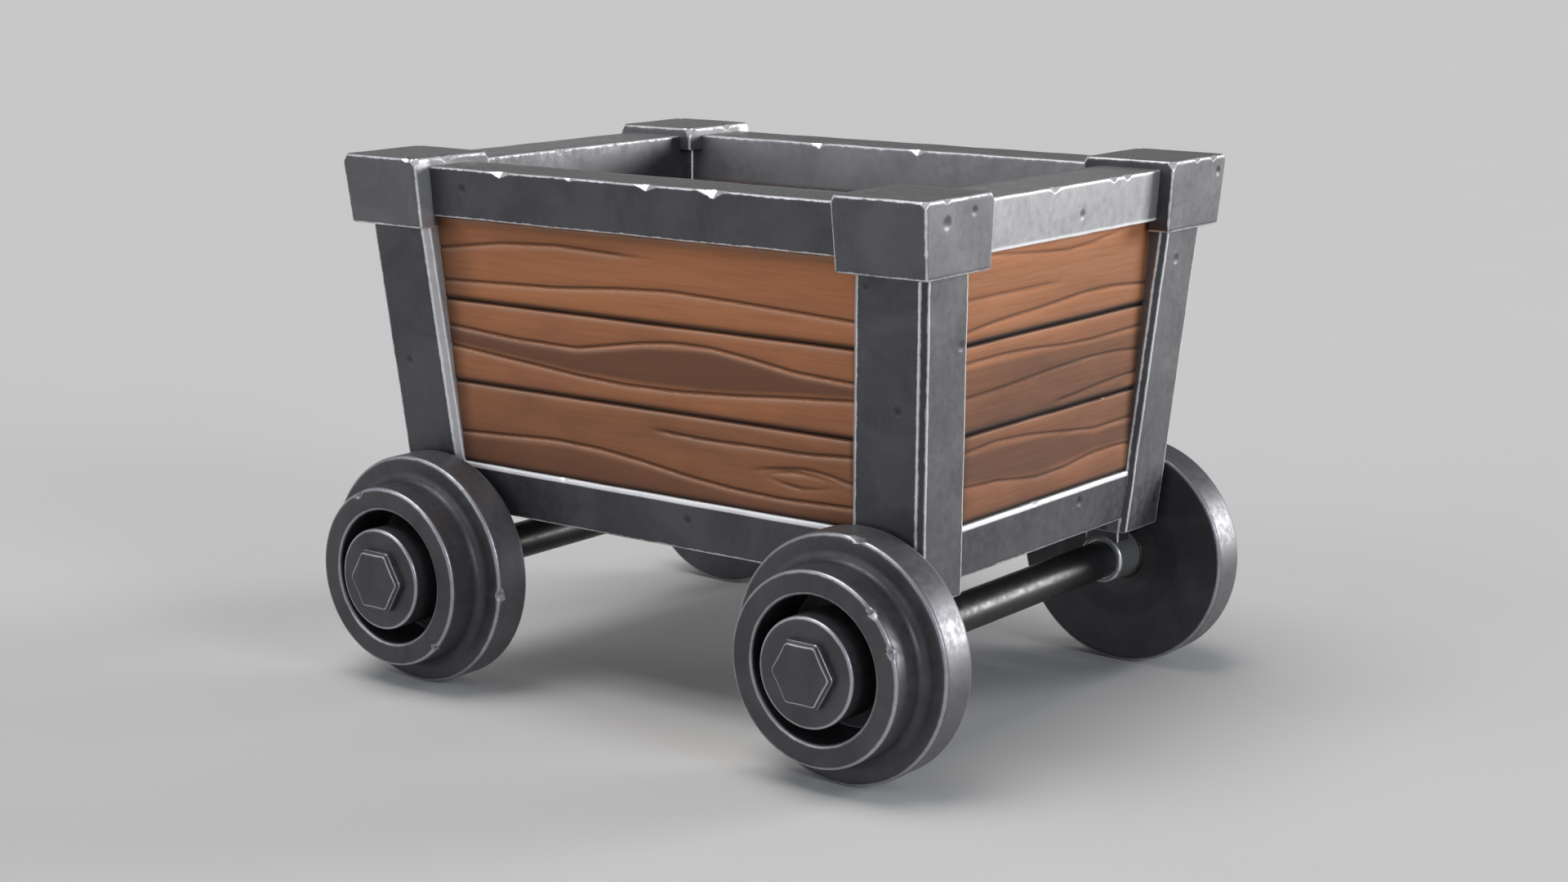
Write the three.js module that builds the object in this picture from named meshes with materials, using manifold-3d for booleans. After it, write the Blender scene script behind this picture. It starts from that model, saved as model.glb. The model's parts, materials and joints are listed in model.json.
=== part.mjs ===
import * as THREE from 'three';
import { mergeVertices } from 'three/addons/utils/BufferGeometryUtils.js';
import Module from 'manifold-3d';

// A four-wheeled mine cart: a leaning timber tub in an iron frame, on loose flanged wheels.
// Millimetres. X runs along the track, Y across it, Z up. The origin is under the middle of
// the cart, level with the lowest point of the wheel flanges.

// ---------- driving dimensions ----------

const GAP = 0.3; // between fixed pieces that bear on each other
const SEAM = 0.6; // between one board and the next
const SIGNS = [1, -1];

const POST = {
  footZ: 266.6,
  topZ: 878.7,
  footX: 531.5, // outer faces at the foot, from the middle of the cart
  footY: 362.3,
  width: 132.5, // along X
  depth: 121.3, // along Y
  wall: 14,
  chamfer: 9, // on the outer corner
};
const END_LEAN = THREE.MathUtils.degToRad(4.19);
const SIDE_LEAN = THREE.MathUtils.degToRad(5.43);

const BAR = {
  recess: 8, // outer face behind the posts' outer faces
  innerStep: 5, // inner face behind the posts' inner faces
  wall: 8,
};
const RAIL = [795, 879]; // bottom and top of the bars round the mouth of the tub
const SILL = [291, 375]; // bottom and top of the bars round its floor

const PLANK = {
  rows: 3,
  thickness: 60,
  recessLow: 12, // outer face behind the posts' outer faces, at the sills
  recessHigh: 29, // and at the rails
  tongue: 8, // how far each end is let into a post
};

const CAP = {
  bottomZ: 776,
  topZ: 893,
  innerDepth: 39, // the skirt inside the tub is shorter than the outer one
  outerTop: [592.7, 448],
  outerBottom: [586.7, 433.7],
  size: [170, 182],
  edge: 5,
};

const FLOOR = {
  boards: 4,
  boardThickness: 40,
  bearerX: [-300, 0, 300],
  bearerWidth: 60,
  bearerHeight: 40,
};

const WHEEL = {
  axleX: 445.1,
  treadRadius: 152.5,
  flangeRadius: 195.5,
  backY: 381.7,
  flangeY: 450.5,
  faceY: 516.3,
  webY: 415, // bottom of the ring-shaped recess in the face
  recessRadius: 113.7,
  hubRadius: 76,
  hubY: 500,
  fillet: 15,
  edge: 6,
  segments: 36,
};
const AXLE = { radius: 32, endY: 508, edge: 3, segments: 24 };
const BUSH = { radius: 45, collarRadius: 60, backY: 383, collarY: [500.5, 506.5], play: 0.6 };
const HUB_CAP = { radius: 86.7, bore: 80, backY: 450, faceY: 533.8, edge: 4 };
const BOLT = { corner: 58, headY: 548.1, edge: 5, shankRadius: 16, tipY: 452, holeY: 438 };
const BRACKET = {
  radius: 42,
  innerY: 315,
  outerY: 381,
  edge: 6,
  neckHalfWidth: 32,
  neckY: [319, 359],
};

const AXLE_Z = WHEEL.flangeRadius;
const FLOOR_TOP = SILL[1];

const FINISH = {
  dark_steel: { color: 0x44454c, roughness: 0.55, metalness: 0.75 },
  cast_iron: { color: 0x3f4043, roughness: 0.6, metalness: 0.7 },
  oiled_steel: { color: 0x17181a, roughness: 0.25, metalness: 0.9 },
  bronze: { color: 0x8a6a3c, roughness: 0.4, metalness: 0.9 },
  wood: { color: 0x8f5f44, roughness: 0.7, metalness: 0 },
};

// ---------- the leaning faces of the tub ----------

const outerX = (z) => POST.footX + (z - POST.footZ) * Math.tan(END_LEAN);
const outerY = (z) => POST.footY + (z - POST.footZ) * Math.tan(SIDE_LEAN);

// A wall seen from outside: 'face' is where the posts' outer faces are, 'reach' is how far the
// opening between the posts goes to either side, and 'breadth' and 'depth' are the posts' sizes
// along the wall and through it.
const SIDE_WALL = {
  face: outerY,
  reach: (z) => outerX(z) - POST.width,
  breadth: POST.width,
  depth: POST.depth,
};
const END_WALL = {
  face: outerX,
  reach: (z) => outerY(z) - POST.depth,
  breadth: POST.depth,
  depth: POST.width,
};

const SWAP_XY = new THREE.Matrix4().set(0, 1, 0, 0, 1, 0, 0, 0, 0, 0, 1, 0, 0, 0, 0, 1);

function plankRecess(z) {
  const share = (z - SILL[1]) / (RAIL[0] - SILL[1]);
  return THREE.MathUtils.lerp(PLANK.recessLow, PLANK.recessHigh, share);
}

// ---------- solids ----------

const wasm = await Module();
wasm.setup();

function solidOf(geometry) {
  const bare = geometry.clone();
  bare.deleteAttribute('normal');
  bare.deleteAttribute('uv');
  const merged = mergeVertices(bare);
  const index = merged.getIndex().array;
  const triangles = [];
  for (let i = 0; i < index.length; i += 3) {
    const [a, b, c] = index.slice(i, i + 3);
    if (a !== b && b !== c && c !== a) triangles.push(a, b, c);
  }
  const vertProperties = new Float32Array(merged.getAttribute('position').array);
  return new wasm.Manifold(new wasm.Mesh({
    numProp: 3,
    vertProperties,
    triVerts: new Uint32Array(triangles),
  }));
}

function geometryOf(solid) {
  const { vertProperties, triVerts } = solid.getMesh();
  const geometry = new THREE.BufferGeometry();
  geometry.setAttribute('position', new THREE.BufferAttribute(vertProperties, 3));
  geometry.setIndex(new THREE.BufferAttribute(triVerts, 1));
  return geometry;
}

function cut(geometry, ...tools) {
  const solid = tools.reduce((rest, tool) => rest.subtract(solidOf(tool)), solidOf(geometry));
  return geometryOf(solid);
}

function joined(...geometries) {
  return geometryOf(geometries.map(solidOf).reduce((sum, next) => sum.add(next)));
}

// Copy under a matrix, with the faces turned round again when the matrix is a reflection.
function transformed(geometry, matrix) {
  const copy = geometry.clone().applyMatrix4(matrix);
  if (matrix.determinant() > 0) return copy;
  const index = Array.from(copy.getIndex().array);
  for (let i = 0; i < index.length; i += 3) {
    [index[i], index[i + 1]] = [index[i + 1], index[i]];
  }
  copy.setIndex(index);
  return copy;
}

const mirrored = (geometry, signX, signY) => (
  transformed(geometry, new THREE.Matrix4().makeScale(signX, signY, 1))
);

// Closed solid through level outlines stacked in height. Each outline runs anticlockwise seen
// from above, and all have the same number of corners.
function loft(sections) {
  const count = sections[0].outline.length;
  const corners = sections.flatMap(({ z, outline }) => outline.flatMap(([x, y]) => [x, y, z]));
  const faces = [];
  for (let level = 0; level + 1 < sections.length; level += 1) {
    for (let i = 0; i < count; i += 1) {
      const a = level * count + i;
      const b = level * count + (i + 1) % count;
      faces.push(a, b, b + count, a, b + count, a + count);
    }
  }
  const top = count * (sections.length - 1);
  for (let i = 1; i + 1 < count; i += 1) {
    faces.push(0, i + 1, i, top, top + i, top + i + 1);
  }
  const geometry = new THREE.BufferGeometry();
  geometry.setAttribute('position', new THREE.Float32BufferAttribute(corners, 3));
  geometry.setIndex(faces);
  return geometry;
}

// Block between two heights. Its four sides are functions of height.
function leaningBlock([low, high], xMin, xMax, yMin, yMax) {
  const outline = (z) => [
    [xMin(z), yMin(z)],
    [xMax(z), yMin(z)],
    [xMax(z), yMax(z)],
    [xMin(z), yMax(z)],
  ];
  return loft([low, high].map((z) => ({ z, outline: outline(z) })));
}

function box([x0, x1], [y0, y1], [z0, z1]) {
  const geometry = new THREE.BoxGeometry(x1 - x0, y1 - y0, z1 - z0);
  return geometry.translate((x0 + x1) / 2, (y0 + y1) / 2, (z0 + z1) / 2);
}

// Solid turned about Y from points (radius, y). A profile that starts off the axis is a ring.
// It stands on a flat, not on an edge.
function turned(profile, segments) {
  const points = profile.map(([radius, y]) => new THREE.Vector2(radius, y));
  if (profile[0][0] > 0) points.push(points[0].clone());
  const geometry = new THREE.LatheGeometry(points, segments, Math.PI / segments);
  return geometryOf(solidOf(geometry));
}

// Radius to the corners of a polygon whose flats are at this radius.
const acrossFlats = (radius, segments) => radius / Math.cos(Math.PI / segments);

// ---------- the tub's frame ----------

// The post of the corner where X and Y are positive. 'inset' moves every side face inwards.
function postBlock(low, high, inset, chamfer) {
  const section = (z) => {
    const x0 = outerX(z) - POST.width + inset;
    const x1 = outerX(z) - inset;
    const y0 = outerY(z) - POST.depth + inset;
    const y1 = outerY(z) - inset;
    return [[x0, y0], [x1, y0], [x1, y1 - chamfer], [x1 - chamfer, y1], [x0, y1]];
  };
  return loft([low, high].map((z) => ({ z, outline: section(z) })));
}

// A piece of a wall, made for the wall on +Y: 'outer' and 'inner' are its two faces, measured
// back from the posts' outer faces, and 'extra' is how far it goes past the posts' near sides.
function wallBlock(wall, levels, outer, inner, extra) {
  const end = (z) => wall.reach(z) + extra;
  return leaningBlock(
    levels,
    (z) => -end(z),
    end,
    (z) => wall.face(z) - inner(z),
    (z) => wall.face(z) - outer(z),
  );
}

const onWall = (wall, geometry) => (wall === SIDE_WALL ? geometry : transformed(geometry, SWAP_XY));

// Box-section bar from post to post.
function barGeometry(wall, [low, high]) {
  const { recess, innerStep, wall: skin } = BAR;
  const inner = wall.depth - innerStep;
  const bar = wallBlock(wall, [low, high], () => recess, () => inner, -GAP);
  const bore = wallBlock(wall, [low + skin, high - skin], () => recess + skin, () => inner - skin, skin);
  return onWall(wall, cut(bar, bore));
}

function barBlock(wall, [low, high], grow) {
  const inner = wall.depth - BAR.innerStep + grow;
  const outer = BAR.recess - grow;
  return onWall(wall, wallBlock(wall, [low - grow, high + grow], () => outer, () => inner, -GAP + grow));
}

// The stack of planks of one wall as a single block, or one plank of it.
function plankBlock(wall, levels, grow) {
  const outer = (z) => plankRecess(z) - grow;
  const inner = (z) => plankRecess(z) + PLANK.thickness + grow;
  return onWall(wall, wallBlock(wall, levels, outer, inner, PLANK.tongue - GAP + grow));
}

// Box-section post, closed at the foot and open at the head, with a groove in each inner side
// for the tongues of the planks.
function postGeometry() {
  const past = 20; // how far the cutter goes beyond the head
  const post = postBlock(POST.footZ, POST.topZ, 0, POST.chamfer);
  const bore = postBlock(POST.footZ + POST.wall, POST.topZ + past, POST.wall, 0.1);
  const grooves = [SIDE_WALL, END_WALL].map((wall) => plankBlock(wall, [SILL[1], RAIL[0]], GAP));
  return cut(post, bore, ...grooves);
}

// Cap over the head of a post and the ends of both rails. Its outer skirt goes down past the
// rails; its inner skirt is short.
function capGeometry() {
  const [topX, topY] = CAP.outerTop;
  const [bottomX, bottomY] = CAP.outerBottom;
  const innerX = topX - CAP.size[0];
  const innerY = topY - CAP.size[1];
  const outline = (x0, x1, y0, y1) => [[x0, y0], [x1, y0], [x1, y1], [x0, y1]];
  const share = CAP.edge / (CAP.topZ - CAP.bottomZ);
  const shoulderX = THREE.MathUtils.lerp(topX, bottomX, share);
  const shoulderY = THREE.MathUtils.lerp(topY, bottomY, share);
  const block = loft([
    { z: CAP.bottomZ, outline: outline(innerX, bottomX, innerY, bottomY) },
    { z: CAP.topZ - CAP.edge, outline: outline(innerX, shoulderX, innerY, shoulderY) },
    {
      z: CAP.topZ,
      outline: outline(innerX + CAP.edge, topX - CAP.edge, innerY + CAP.edge, topY - CAP.edge),
    },
  ]);
  const walls = [SIDE_WALL, END_WALL];
  const rails = walls.map((wall) => barBlock(wall, RAIL, GAP));
  const planks = walls.map((wall) => plankBlock(wall, [SILL[1], RAIL[0] + 1], GAP));
  const post = postBlock(POST.footZ, POST.topZ + GAP, -GAP, POST.chamfer);
  // What is left behind the planks and rails, below the inner skirt, is cleared away.
  const behind = 40;
  const clearance = walls.map((wall) => {
    const inner = () => CAP.size[0] + CAP.size[1];
    const levels = [CAP.bottomZ - 1, CAP.topZ - CAP.innerDepth];
    return onWall(wall, wallBlock(wall, levels, () => behind, inner, wall.breadth - behind));
  });
  return cut(block, post, ...rails, ...planks, ...clearance);
}

// ---------- the tub's floor ----------

const floorHalfWidth = outerY(SILL[0]) - POST.depth - GAP;
const floorHalfLength = outerX(FLOOR_TOP - FLOOR.boardThickness) - POST.width + BAR.innerStep - GAP;

function floorBoardGeometry(row) {
  const pitch = 2 * floorHalfWidth / FLOOR.boards;
  const y0 = -floorHalfWidth + row * pitch;
  return box(
    [-floorHalfLength, floorHalfLength],
    [y0 + SEAM / 2, y0 + pitch - SEAM / 2],
    [FLOOR_TOP - FLOOR.boardThickness, FLOOR_TOP],
  );
}

function bearerGeometry() {
  const top = FLOOR_TOP - FLOOR.boardThickness - GAP;
  const half = FLOOR.bearerWidth / 2;
  return box([-half, half], [-floorHalfWidth, floorHalfWidth], [top - FLOOR.bearerHeight, top]);
}

// ---------- running gear, made for the +Y end of an axle whose centre is the origin ----------

function wheelGeometry() {
  const { segments, edge, fillet } = WHEEL;
  const flange = acrossFlats(WHEEL.flangeRadius, segments);
  const bore = acrossFlats(BUSH.radius + GAP, segments);
  const filletSteps = 3;
  const filletPoints = [];
  for (let step = 0; step <= filletSteps; step += 1) {
    const angle = (Math.PI / 2) * (step / filletSteps);
    filletPoints.push([
      WHEEL.treadRadius + fillet * (1 - Math.sin(angle)),
      WHEEL.flangeY + fillet * (1 - Math.cos(angle)),
    ]);
  }
  return turned([
    [flange - edge, WHEEL.backY],
    [flange, WHEEL.backY + edge],
    [flange, WHEEL.flangeY - edge],
    [flange - edge, WHEEL.flangeY],
    ...filletPoints,
    [WHEEL.treadRadius, WHEEL.faceY - edge / 2],
    [WHEEL.treadRadius - edge / 2, WHEEL.faceY],
    [WHEEL.recessRadius, WHEEL.faceY],
    [WHEEL.recessRadius, WHEEL.webY],
    [WHEEL.hubRadius, WHEEL.webY],
    [WHEEL.hubRadius, WHEEL.hubY],
    [bore, WHEEL.hubY],
    [bore, WHEEL.backY],
  ], segments);
}

function bushGeometry() {
  const bore = acrossFlats(AXLE.radius + BUSH.play, AXLE.segments);
  const [collarBack, collarFront] = BUSH.collarY;
  return turned([
    [BUSH.radius, BUSH.backY],
    [BUSH.radius, collarBack],
    [BUSH.collarRadius, collarBack],
    [BUSH.collarRadius, collarFront],
    [bore, collarFront],
    [bore, BUSH.backY],
  ], AXLE.segments);
}

// Cup over the wheel's hub, clamped to the end of the axle by the hub bolt.
function hubCapGeometry() {
  const wallInner = AXLE.endY + GAP;
  const bore = acrossFlats(HUB_CAP.bore, AXLE.segments);
  const boltHole = BOLT.shankRadius + GAP;
  return turned([
    [HUB_CAP.radius, HUB_CAP.backY],
    [HUB_CAP.radius, HUB_CAP.faceY - HUB_CAP.edge],
    [HUB_CAP.radius - HUB_CAP.edge, HUB_CAP.faceY],
    [boltHole, HUB_CAP.faceY],
    [boltHole, wallInner],
    [bore, wallInner],
    [bore, HUB_CAP.backY],
  ], AXLE.segments);
}

function boltGeometry() {
  const under = HUB_CAP.faceY + GAP;
  const overlap = 2; // the shank starts inside the head
  const head = turned([
    [0, under],
    [BOLT.corner, under],
    [BOLT.corner, BOLT.headY - BOLT.edge],
    [BOLT.corner - BOLT.edge, BOLT.headY],
    [0, BOLT.headY],
  ], 6);
  const shank = turned([
    [0, BOLT.tipY],
    [BOLT.shankRadius, BOLT.tipY],
    [BOLT.shankRadius, under + overlap],
    [0, under + overlap],
  ], AXLE.segments);
  return joined(head, shank);
}

// Round bar with a threaded hole in each end.
function axleGeometry() {
  const { radius, endY, edge, segments } = AXLE;
  const hole = BOLT.shankRadius + GAP;
  const half = [
    [0, BOLT.holeY],
    [hole, BOLT.holeY],
    [hole, endY],
    [radius - edge, endY],
    [radius, endY - edge],
  ];
  const near = half.map(([r, y]) => [r, -y]);
  return turned([...near, ...half.reverse()], segments);
}

// Ring round the axle with a neck that meets the foot of the post.
function bracketGeometry() {
  const { radius, innerY, outerY: ringEnd, edge, neckHalfWidth } = BRACKET;
  const bore = AXLE.radius + GAP;
  const neckTop = POST.footZ - GAP - AXLE_Z;
  const outer = turned([
    [0, innerY],
    [radius - edge, innerY],
    [radius, innerY + edge],
    [radius, ringEnd],
    [0, ringEnd],
  ], AXLE.segments);
  const neck = box([-neckHalfWidth, neckHalfWidth], BRACKET.neckY, [0, neckTop]);
  const hole = turned([
    [0, innerY - 1],
    [bore, innerY - 1],
    [bore, ringEnd + 1],
    [0, ringEnd + 1],
  ], AXLE.segments);
  return cut(joined(outer, neck), hole);
}

// ---------- assembly ----------

function piece(name, geometry, finish) {
  const mesh = new THREE.Mesh(geometry, new THREE.MeshStandardMaterial(FINISH[finish]));
  mesh.name = name;
  return mesh;
}

// The visible end of the cart is the front, and its +Y side is the left.
const endName = (sign) => (sign > 0 ? 'front' : 'rear');
const sideName = (sign) => (sign > 0 ? 'left' : 'right');

function buildCorners(tub) {
  const post = postGeometry();
  const cap = capGeometry();
  for (const x of SIGNS) {
    for (const y of SIGNS) {
      const place = `${endName(x)}_${sideName(y)}`;
      tub.add(piece(`corner_post_${place}`, mirrored(post, x, y), 'dark_steel'));
      tub.add(piece(`corner_cap_${place}`, mirrored(cap, x, y), 'dark_steel'));
    }
  }
}

function buildWall(tub, wall, place, signX, signY) {
  const onPlace = (geometry) => mirrored(geometry, signX, signY);
  tub.add(piece(`top_rail_${place}`, onPlace(barGeometry(wall, RAIL)), 'dark_steel'));
  tub.add(piece(`sill_${place}`, onPlace(barGeometry(wall, SILL)), 'dark_steel'));
  const pitch = (RAIL[0] - SILL[1]) / PLANK.rows;
  for (let row = 0; row < PLANK.rows; row += 1) {
    const low = SILL[1] + row * pitch;
    const plank = plankBlock(wall, [low + SEAM / 2, low + pitch - SEAM / 2], 0);
    tub.add(piece(`plank_${place}_${row + 1}`, onPlace(plank), 'wood'));
  }
}

function buildTub() {
  const tub = new THREE.Group();
  buildCorners(tub);
  for (const sign of SIGNS) {
    buildWall(tub, SIDE_WALL, sideName(sign), 1, sign);
    buildWall(tub, END_WALL, endName(sign), sign, 1);
  }
  for (let row = 0; row < FLOOR.boards; row += 1) {
    tub.add(piece(`floor_board_${row + 1}`, floorBoardGeometry(row), 'wood'));
  }
  FLOOR.bearerX.forEach((x, index) => {
    const bearer = piece(`floor_bearer_${index + 1}`, bearerGeometry(), 'dark_steel');
    bearer.position.x = x;
    tub.add(bearer);
  });
  return tub;
}

function buildAxleSet(signX) {
  const axleSet = new THREE.Group();
  axleSet.position.set(signX * WHEEL.axleX, 0, AXLE_Z);
  axleSet.add(piece(`axle_${endName(signX)}`, axleGeometry(), 'oiled_steel'));
  for (const signY of SIGNS) {
    const place = `${endName(signX)}_${sideName(signY)}`;
    const axleEnd = new THREE.Group();
    if (signY < 0) axleEnd.rotation.z = Math.PI;
    axleEnd.add(
      piece(`axle_bracket_${place}`, bracketGeometry(), 'dark_steel'),
      piece(`wheel_${place}`, wheelGeometry(), 'cast_iron'),
      piece(`wheel_bush_${place}`, bushGeometry(), 'bronze'),
      piece(`hub_cap_${place}`, hubCapGeometry(), 'cast_iron'),
      piece(`hub_bolt_${place}`, boltGeometry(), 'dark_steel'),
    );
    axleSet.add(axleEnd);
  }
  return axleSet;
}

const mineCart = new THREE.Group();
mineCart.add(buildTub(), ...SIGNS.map(buildAxleSet));

export default mineCart;
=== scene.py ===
"""The looks of the mine cart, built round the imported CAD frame.

Every visible piece but the wheels' bushes is a fine mesh lofted through sections that are read off its CAD
node: posts, caps and bars with worn edges, planks with carved grain, and turned wheels, hub caps, bolts,
axles and collars. Lengths in the constants are millimetres, like the CAD source, and meshes are in metres.
"""

import json
import math
from typing import NamedTuple

import bmesh
import bpy
import numpy as np
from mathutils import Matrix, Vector

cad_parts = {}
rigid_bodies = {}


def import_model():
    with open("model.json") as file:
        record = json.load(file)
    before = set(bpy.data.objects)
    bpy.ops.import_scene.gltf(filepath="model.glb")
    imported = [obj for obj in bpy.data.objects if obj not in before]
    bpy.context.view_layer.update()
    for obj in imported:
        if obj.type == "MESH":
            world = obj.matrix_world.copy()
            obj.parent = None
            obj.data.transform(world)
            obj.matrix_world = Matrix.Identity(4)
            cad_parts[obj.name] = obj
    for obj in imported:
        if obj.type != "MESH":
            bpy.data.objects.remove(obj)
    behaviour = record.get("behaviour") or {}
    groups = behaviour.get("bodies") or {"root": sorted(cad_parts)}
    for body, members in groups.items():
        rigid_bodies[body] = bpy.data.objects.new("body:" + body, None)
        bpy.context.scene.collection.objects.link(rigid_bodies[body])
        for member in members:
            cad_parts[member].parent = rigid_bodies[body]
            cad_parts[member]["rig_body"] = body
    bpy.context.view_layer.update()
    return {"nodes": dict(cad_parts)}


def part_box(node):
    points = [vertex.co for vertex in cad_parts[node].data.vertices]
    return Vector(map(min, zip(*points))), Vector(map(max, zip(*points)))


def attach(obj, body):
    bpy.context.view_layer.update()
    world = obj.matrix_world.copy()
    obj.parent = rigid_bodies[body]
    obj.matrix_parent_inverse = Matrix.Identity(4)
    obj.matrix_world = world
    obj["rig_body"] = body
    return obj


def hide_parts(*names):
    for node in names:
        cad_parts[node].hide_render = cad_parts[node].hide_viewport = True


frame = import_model()

MM = 0.001

ARC_STEPS = 3  # flats in a rounded edge
EDGE_ROWS = (3.0, 7.0)  # rows of points just behind a rounded edge
FINE_REACH = 12.0  # points are closer together this far round a nick or a dent
FINE_STEP = 1.8
SHARP_ANGLE = 38  # degrees between faces that stay crisp
SMALL_EDGE = 1.5  # radius of an edge that hardly wears
FAR = 30.0  # counts as too far from an edge to be worn

STEEL_EDGE = 4.0  # radius of a worn steel edge
STEEL_STEP = 9.0  # spacing of points across a steel face
STEEL_ALONG = 6.0  # spacing of points along a steel bar
STEEL_RIPPLE = (0.35, 90)  # height and length of the slow unevenness of a steel face
POST_CHAMFER = 10.0  # on a post's outer edges
CHAMFER_STEP = 4.0  # spacing of points across it
BURIED = 10.0  # how far bars and planks run on inside the posts
PLAIN_STEP = 12.0  # spacing of points across a floor board or a bearer, and along a bearer
BOARD_ALONG = 20.0  # spacing of points along a board
BOARD_EDGE = 3.0
BOARD_RIPPLE = (0.5, 160)

BAR_HALF = 40.0  # a bar's inner face is farther than this inside its middle
SILL_TOP = 400.0  # bars that end below this height are sills
STRIP_WIDTH = 34.0  # on the sides of a post, beside the planks
STRIP_PAINTED_LIGHT = (0.55, 0.14)  # how bright painted light makes that strip next to the right wall and the end walls
LEFT_STRIP_PAINTED_LIGHT = 0.2  # and next to the left wall
POST_FACE_PAINTED_LIGHT = 0.035  # painted light on a post's face towards the end of the cart
CAP_FACE_PAINTED_LIGHT = 0.045  # and on a cap's
CAP_STRIP_PAINTED_LIGHT = 0.35  # painted light on a cap's side, over that strip
RIM_RUB = 0.16  # how bright the flange's rim is rubbed
TREAD_RUB = 0.05  # and the tread
COLLAR_RUB = 0.2  # and an axle's collar
RECESS_SHADE = 0.5  # how much a wheel's recess is darkened
WHEEL_SCAR = 0.9  # how dark the middle of a wheel's nick is
CHAMFER_SHADE = 0.5  # how much a post's chamfer is darkened
LEDGE_HIGHLIGHT = 9.0  # a ledge is worn bright, with a painted highlight, down to this far below its edge
WORN_AND_LIT_PIECES = {  # pieces that are rubbed brighter and given painted light, a rail only outside and on top
    "top_rail_front": 0.32,
    "top_rail_rear": 0.28,
    "corner_cap_front_right": 0.03,
    "corner_cap_rear_right": 0.07,
    "corner_cap_rear_left": 0.08,
}
INNER_WORN_AND_LIT = {"top_rail_left": 0.2, "top_rail_rear": 0.0}  # the inner faces of those rails, rubbed and painted lighter
OTHER_INNER_WORN_AND_LIT = 0.12  # and of the other rails and the sills

CAP_EDGE = 4.5
CAP_LIP = 40.0  # thickness of a cap's outer skirt
CAP_SKIRT = 39.0  # height of a cap's inner sides
CAP_KNOCKS = (3.5, 7.0)  # a cap's top corners are flattened by so much
POST_TOP_ROWS = (10.0, 18.0)  # rings on a post's end faces lie this far in from its rounded edges
CAP_TOP_ROWS = (12.0, 30.0)  # and on a cap's

PLANK_EDGE = 4.5
PLANK_STEP = 1.2  # spacing of points across the grain
PLANK_ALONG = 7.0  # spacing of points along the grain
PLANK_BACK = 20.0  # and on a plank's other faces
PLANK_RIPPLE = (0.4, 140)  # height and length, as above
GROOVE_WIDTH = 3.5  # half the width of a carved grain line
GROOVE_DEPTH = 2.2
LINE_CORE = (0.68, 0.8, 2.6)  # a line's dark middle: how dark, how far above the line, how wide
LINE_SHADE = (0.36, 8.0)  # the shade above a line: how dark, how far it reaches
LINE_DARKEST = 0.85  # and the most that both darken
LINE_HIGHLIGHT = (0.75, 3.0, 5.5)  # the painted highlight below a line: how light, where it starts, how far it reaches
LINE_FADES = (0.06, 0.1)  # parts of the length over which a line that stops short begins and ends
FOOT_CORE = (1.1, 6.5)  # painted shade in the seam along a plank's lower edge: how dark, how wide
FOOT_SHADE = (0.32, 12.0)  # and the shade above it
SEAM_WIDTH, SEAM_MARK = 2.6, -1.2  # painted shade in the seam along a plank's upper edge
HEAD_HIGHLIGHT = (1.05, 5.0)  # and the painted highlight below it
SHADOW_UNDER_RAIL = 0.75  # how dark the painted shadow under a rail is, against 1 at a plank's ends
FACE_DEEP, FACE_FADE = 8.0, 4.0  # the looks of a plank's outer face end so deep, and fade over so much
ROW_TONES = (0.52, 0.30, -0.02)  # how brown the planks are, bottom row first; lower rows darker as painted shade
BACK_TONE = 0.7  # and their hidden faces
BOARD_TONE = 0.6  # and the floor boards
END_SHADE = 0.24  # how much darker the end walls are

WHEEL_SEGMENTS = 160
TREAD_RADIUS = 152.5
FLANGE_THICK = 68.8
RECESS_RADIUS = 113.7
WEB_THICK = 33.3
HUB_RADIUS = 76.0
HUB_LENGTH = 118.3
BORE_RADIUS = 45.5
TREAD_FILLET = 15.0
WHEEL_ROUNDING = (7, 7, TREAD_FILLET, 6.5, 6.5, 3, 3, 2, 2, 2)  # one radius for each corner of its section
TURNED_STEP = 8.0  # spacing of points across a turned piece

CAP_DISC_BORE = 15.0  # hole of a hub cap under its bolt
HUB_CAP_EDGE = 4.5
HUB_CAP_WALL = 12.0
BOLT_SEGMENTS = 120
BOLT_CHAMFER = 5.0
BOLT_ROUNDING = 0.975  # a bolt's corners are rounded to this part of their radius
BOLT_SHANK = 14.0  # radius
ROUND_SEGMENTS = 96
COLLAR_SPAN = (315.0, 381.0)  # from the middle of the cart
NECK_SPAN = (319.0, 359.0)
NECK_HALF = 32.0
COLLAR_GAP = 0.3  # round the axle, and under the post

# colour of dents and wheels' nick middles, also painting shade on post chamfers and in wheel recesses
PIT_AND_SHADE = (0.02, 0.02, 0.022)
DUST = (0.155, 0.146, 0.140)
WOOD_ORANGE = (0.44, 0.178, 0.080)
WOOD_BROWN = (0.163, 0.073, 0.042)
WOOD_DARK = (0.16, 0.075, 0.045)
# next: a painted highlight by the lines and seams, then the dark of the lines, also used for painted shade
# and shadow
WOOD_PAINTED_HIGHLIGHT = (0.62, 0.42, 0.32)
WOOD_LINE_AND_SHADE = (0.030, 0.016, 0.012)
FLOOR_TONES = ((0.555, 0.555, 0.555), (0.561, 0.561, 0.558))
FLOOR_HALF = 300.0  # metres

SUNS = {  # where each one stands, its angle in degrees, its strength and its colour
    "key": ((4.8, 6.8, 1.2), 24, 2.9, (1.0, 0.99, 0.97)),
    "side": ((6, -0.9, 2.2), 20, 0.75, (0.84, 0.90, 1.0)),
    "top": ((-1.0, -1.2, 6.0), 40, 1.7, (1.0, 0.97, 0.94)),
    "fill": ((-3.0, -6.0, 2.5), 50, 0.72, (0.92, 0.95, 1.0)),
}
SKY_LOW, SKY_HIGH = (0.66, 0.66, 0.66), (0.23, 0.24, 0.255)
SKY_CLIMB = 0.22  # how far up the sky has turned from the one to the other

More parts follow.
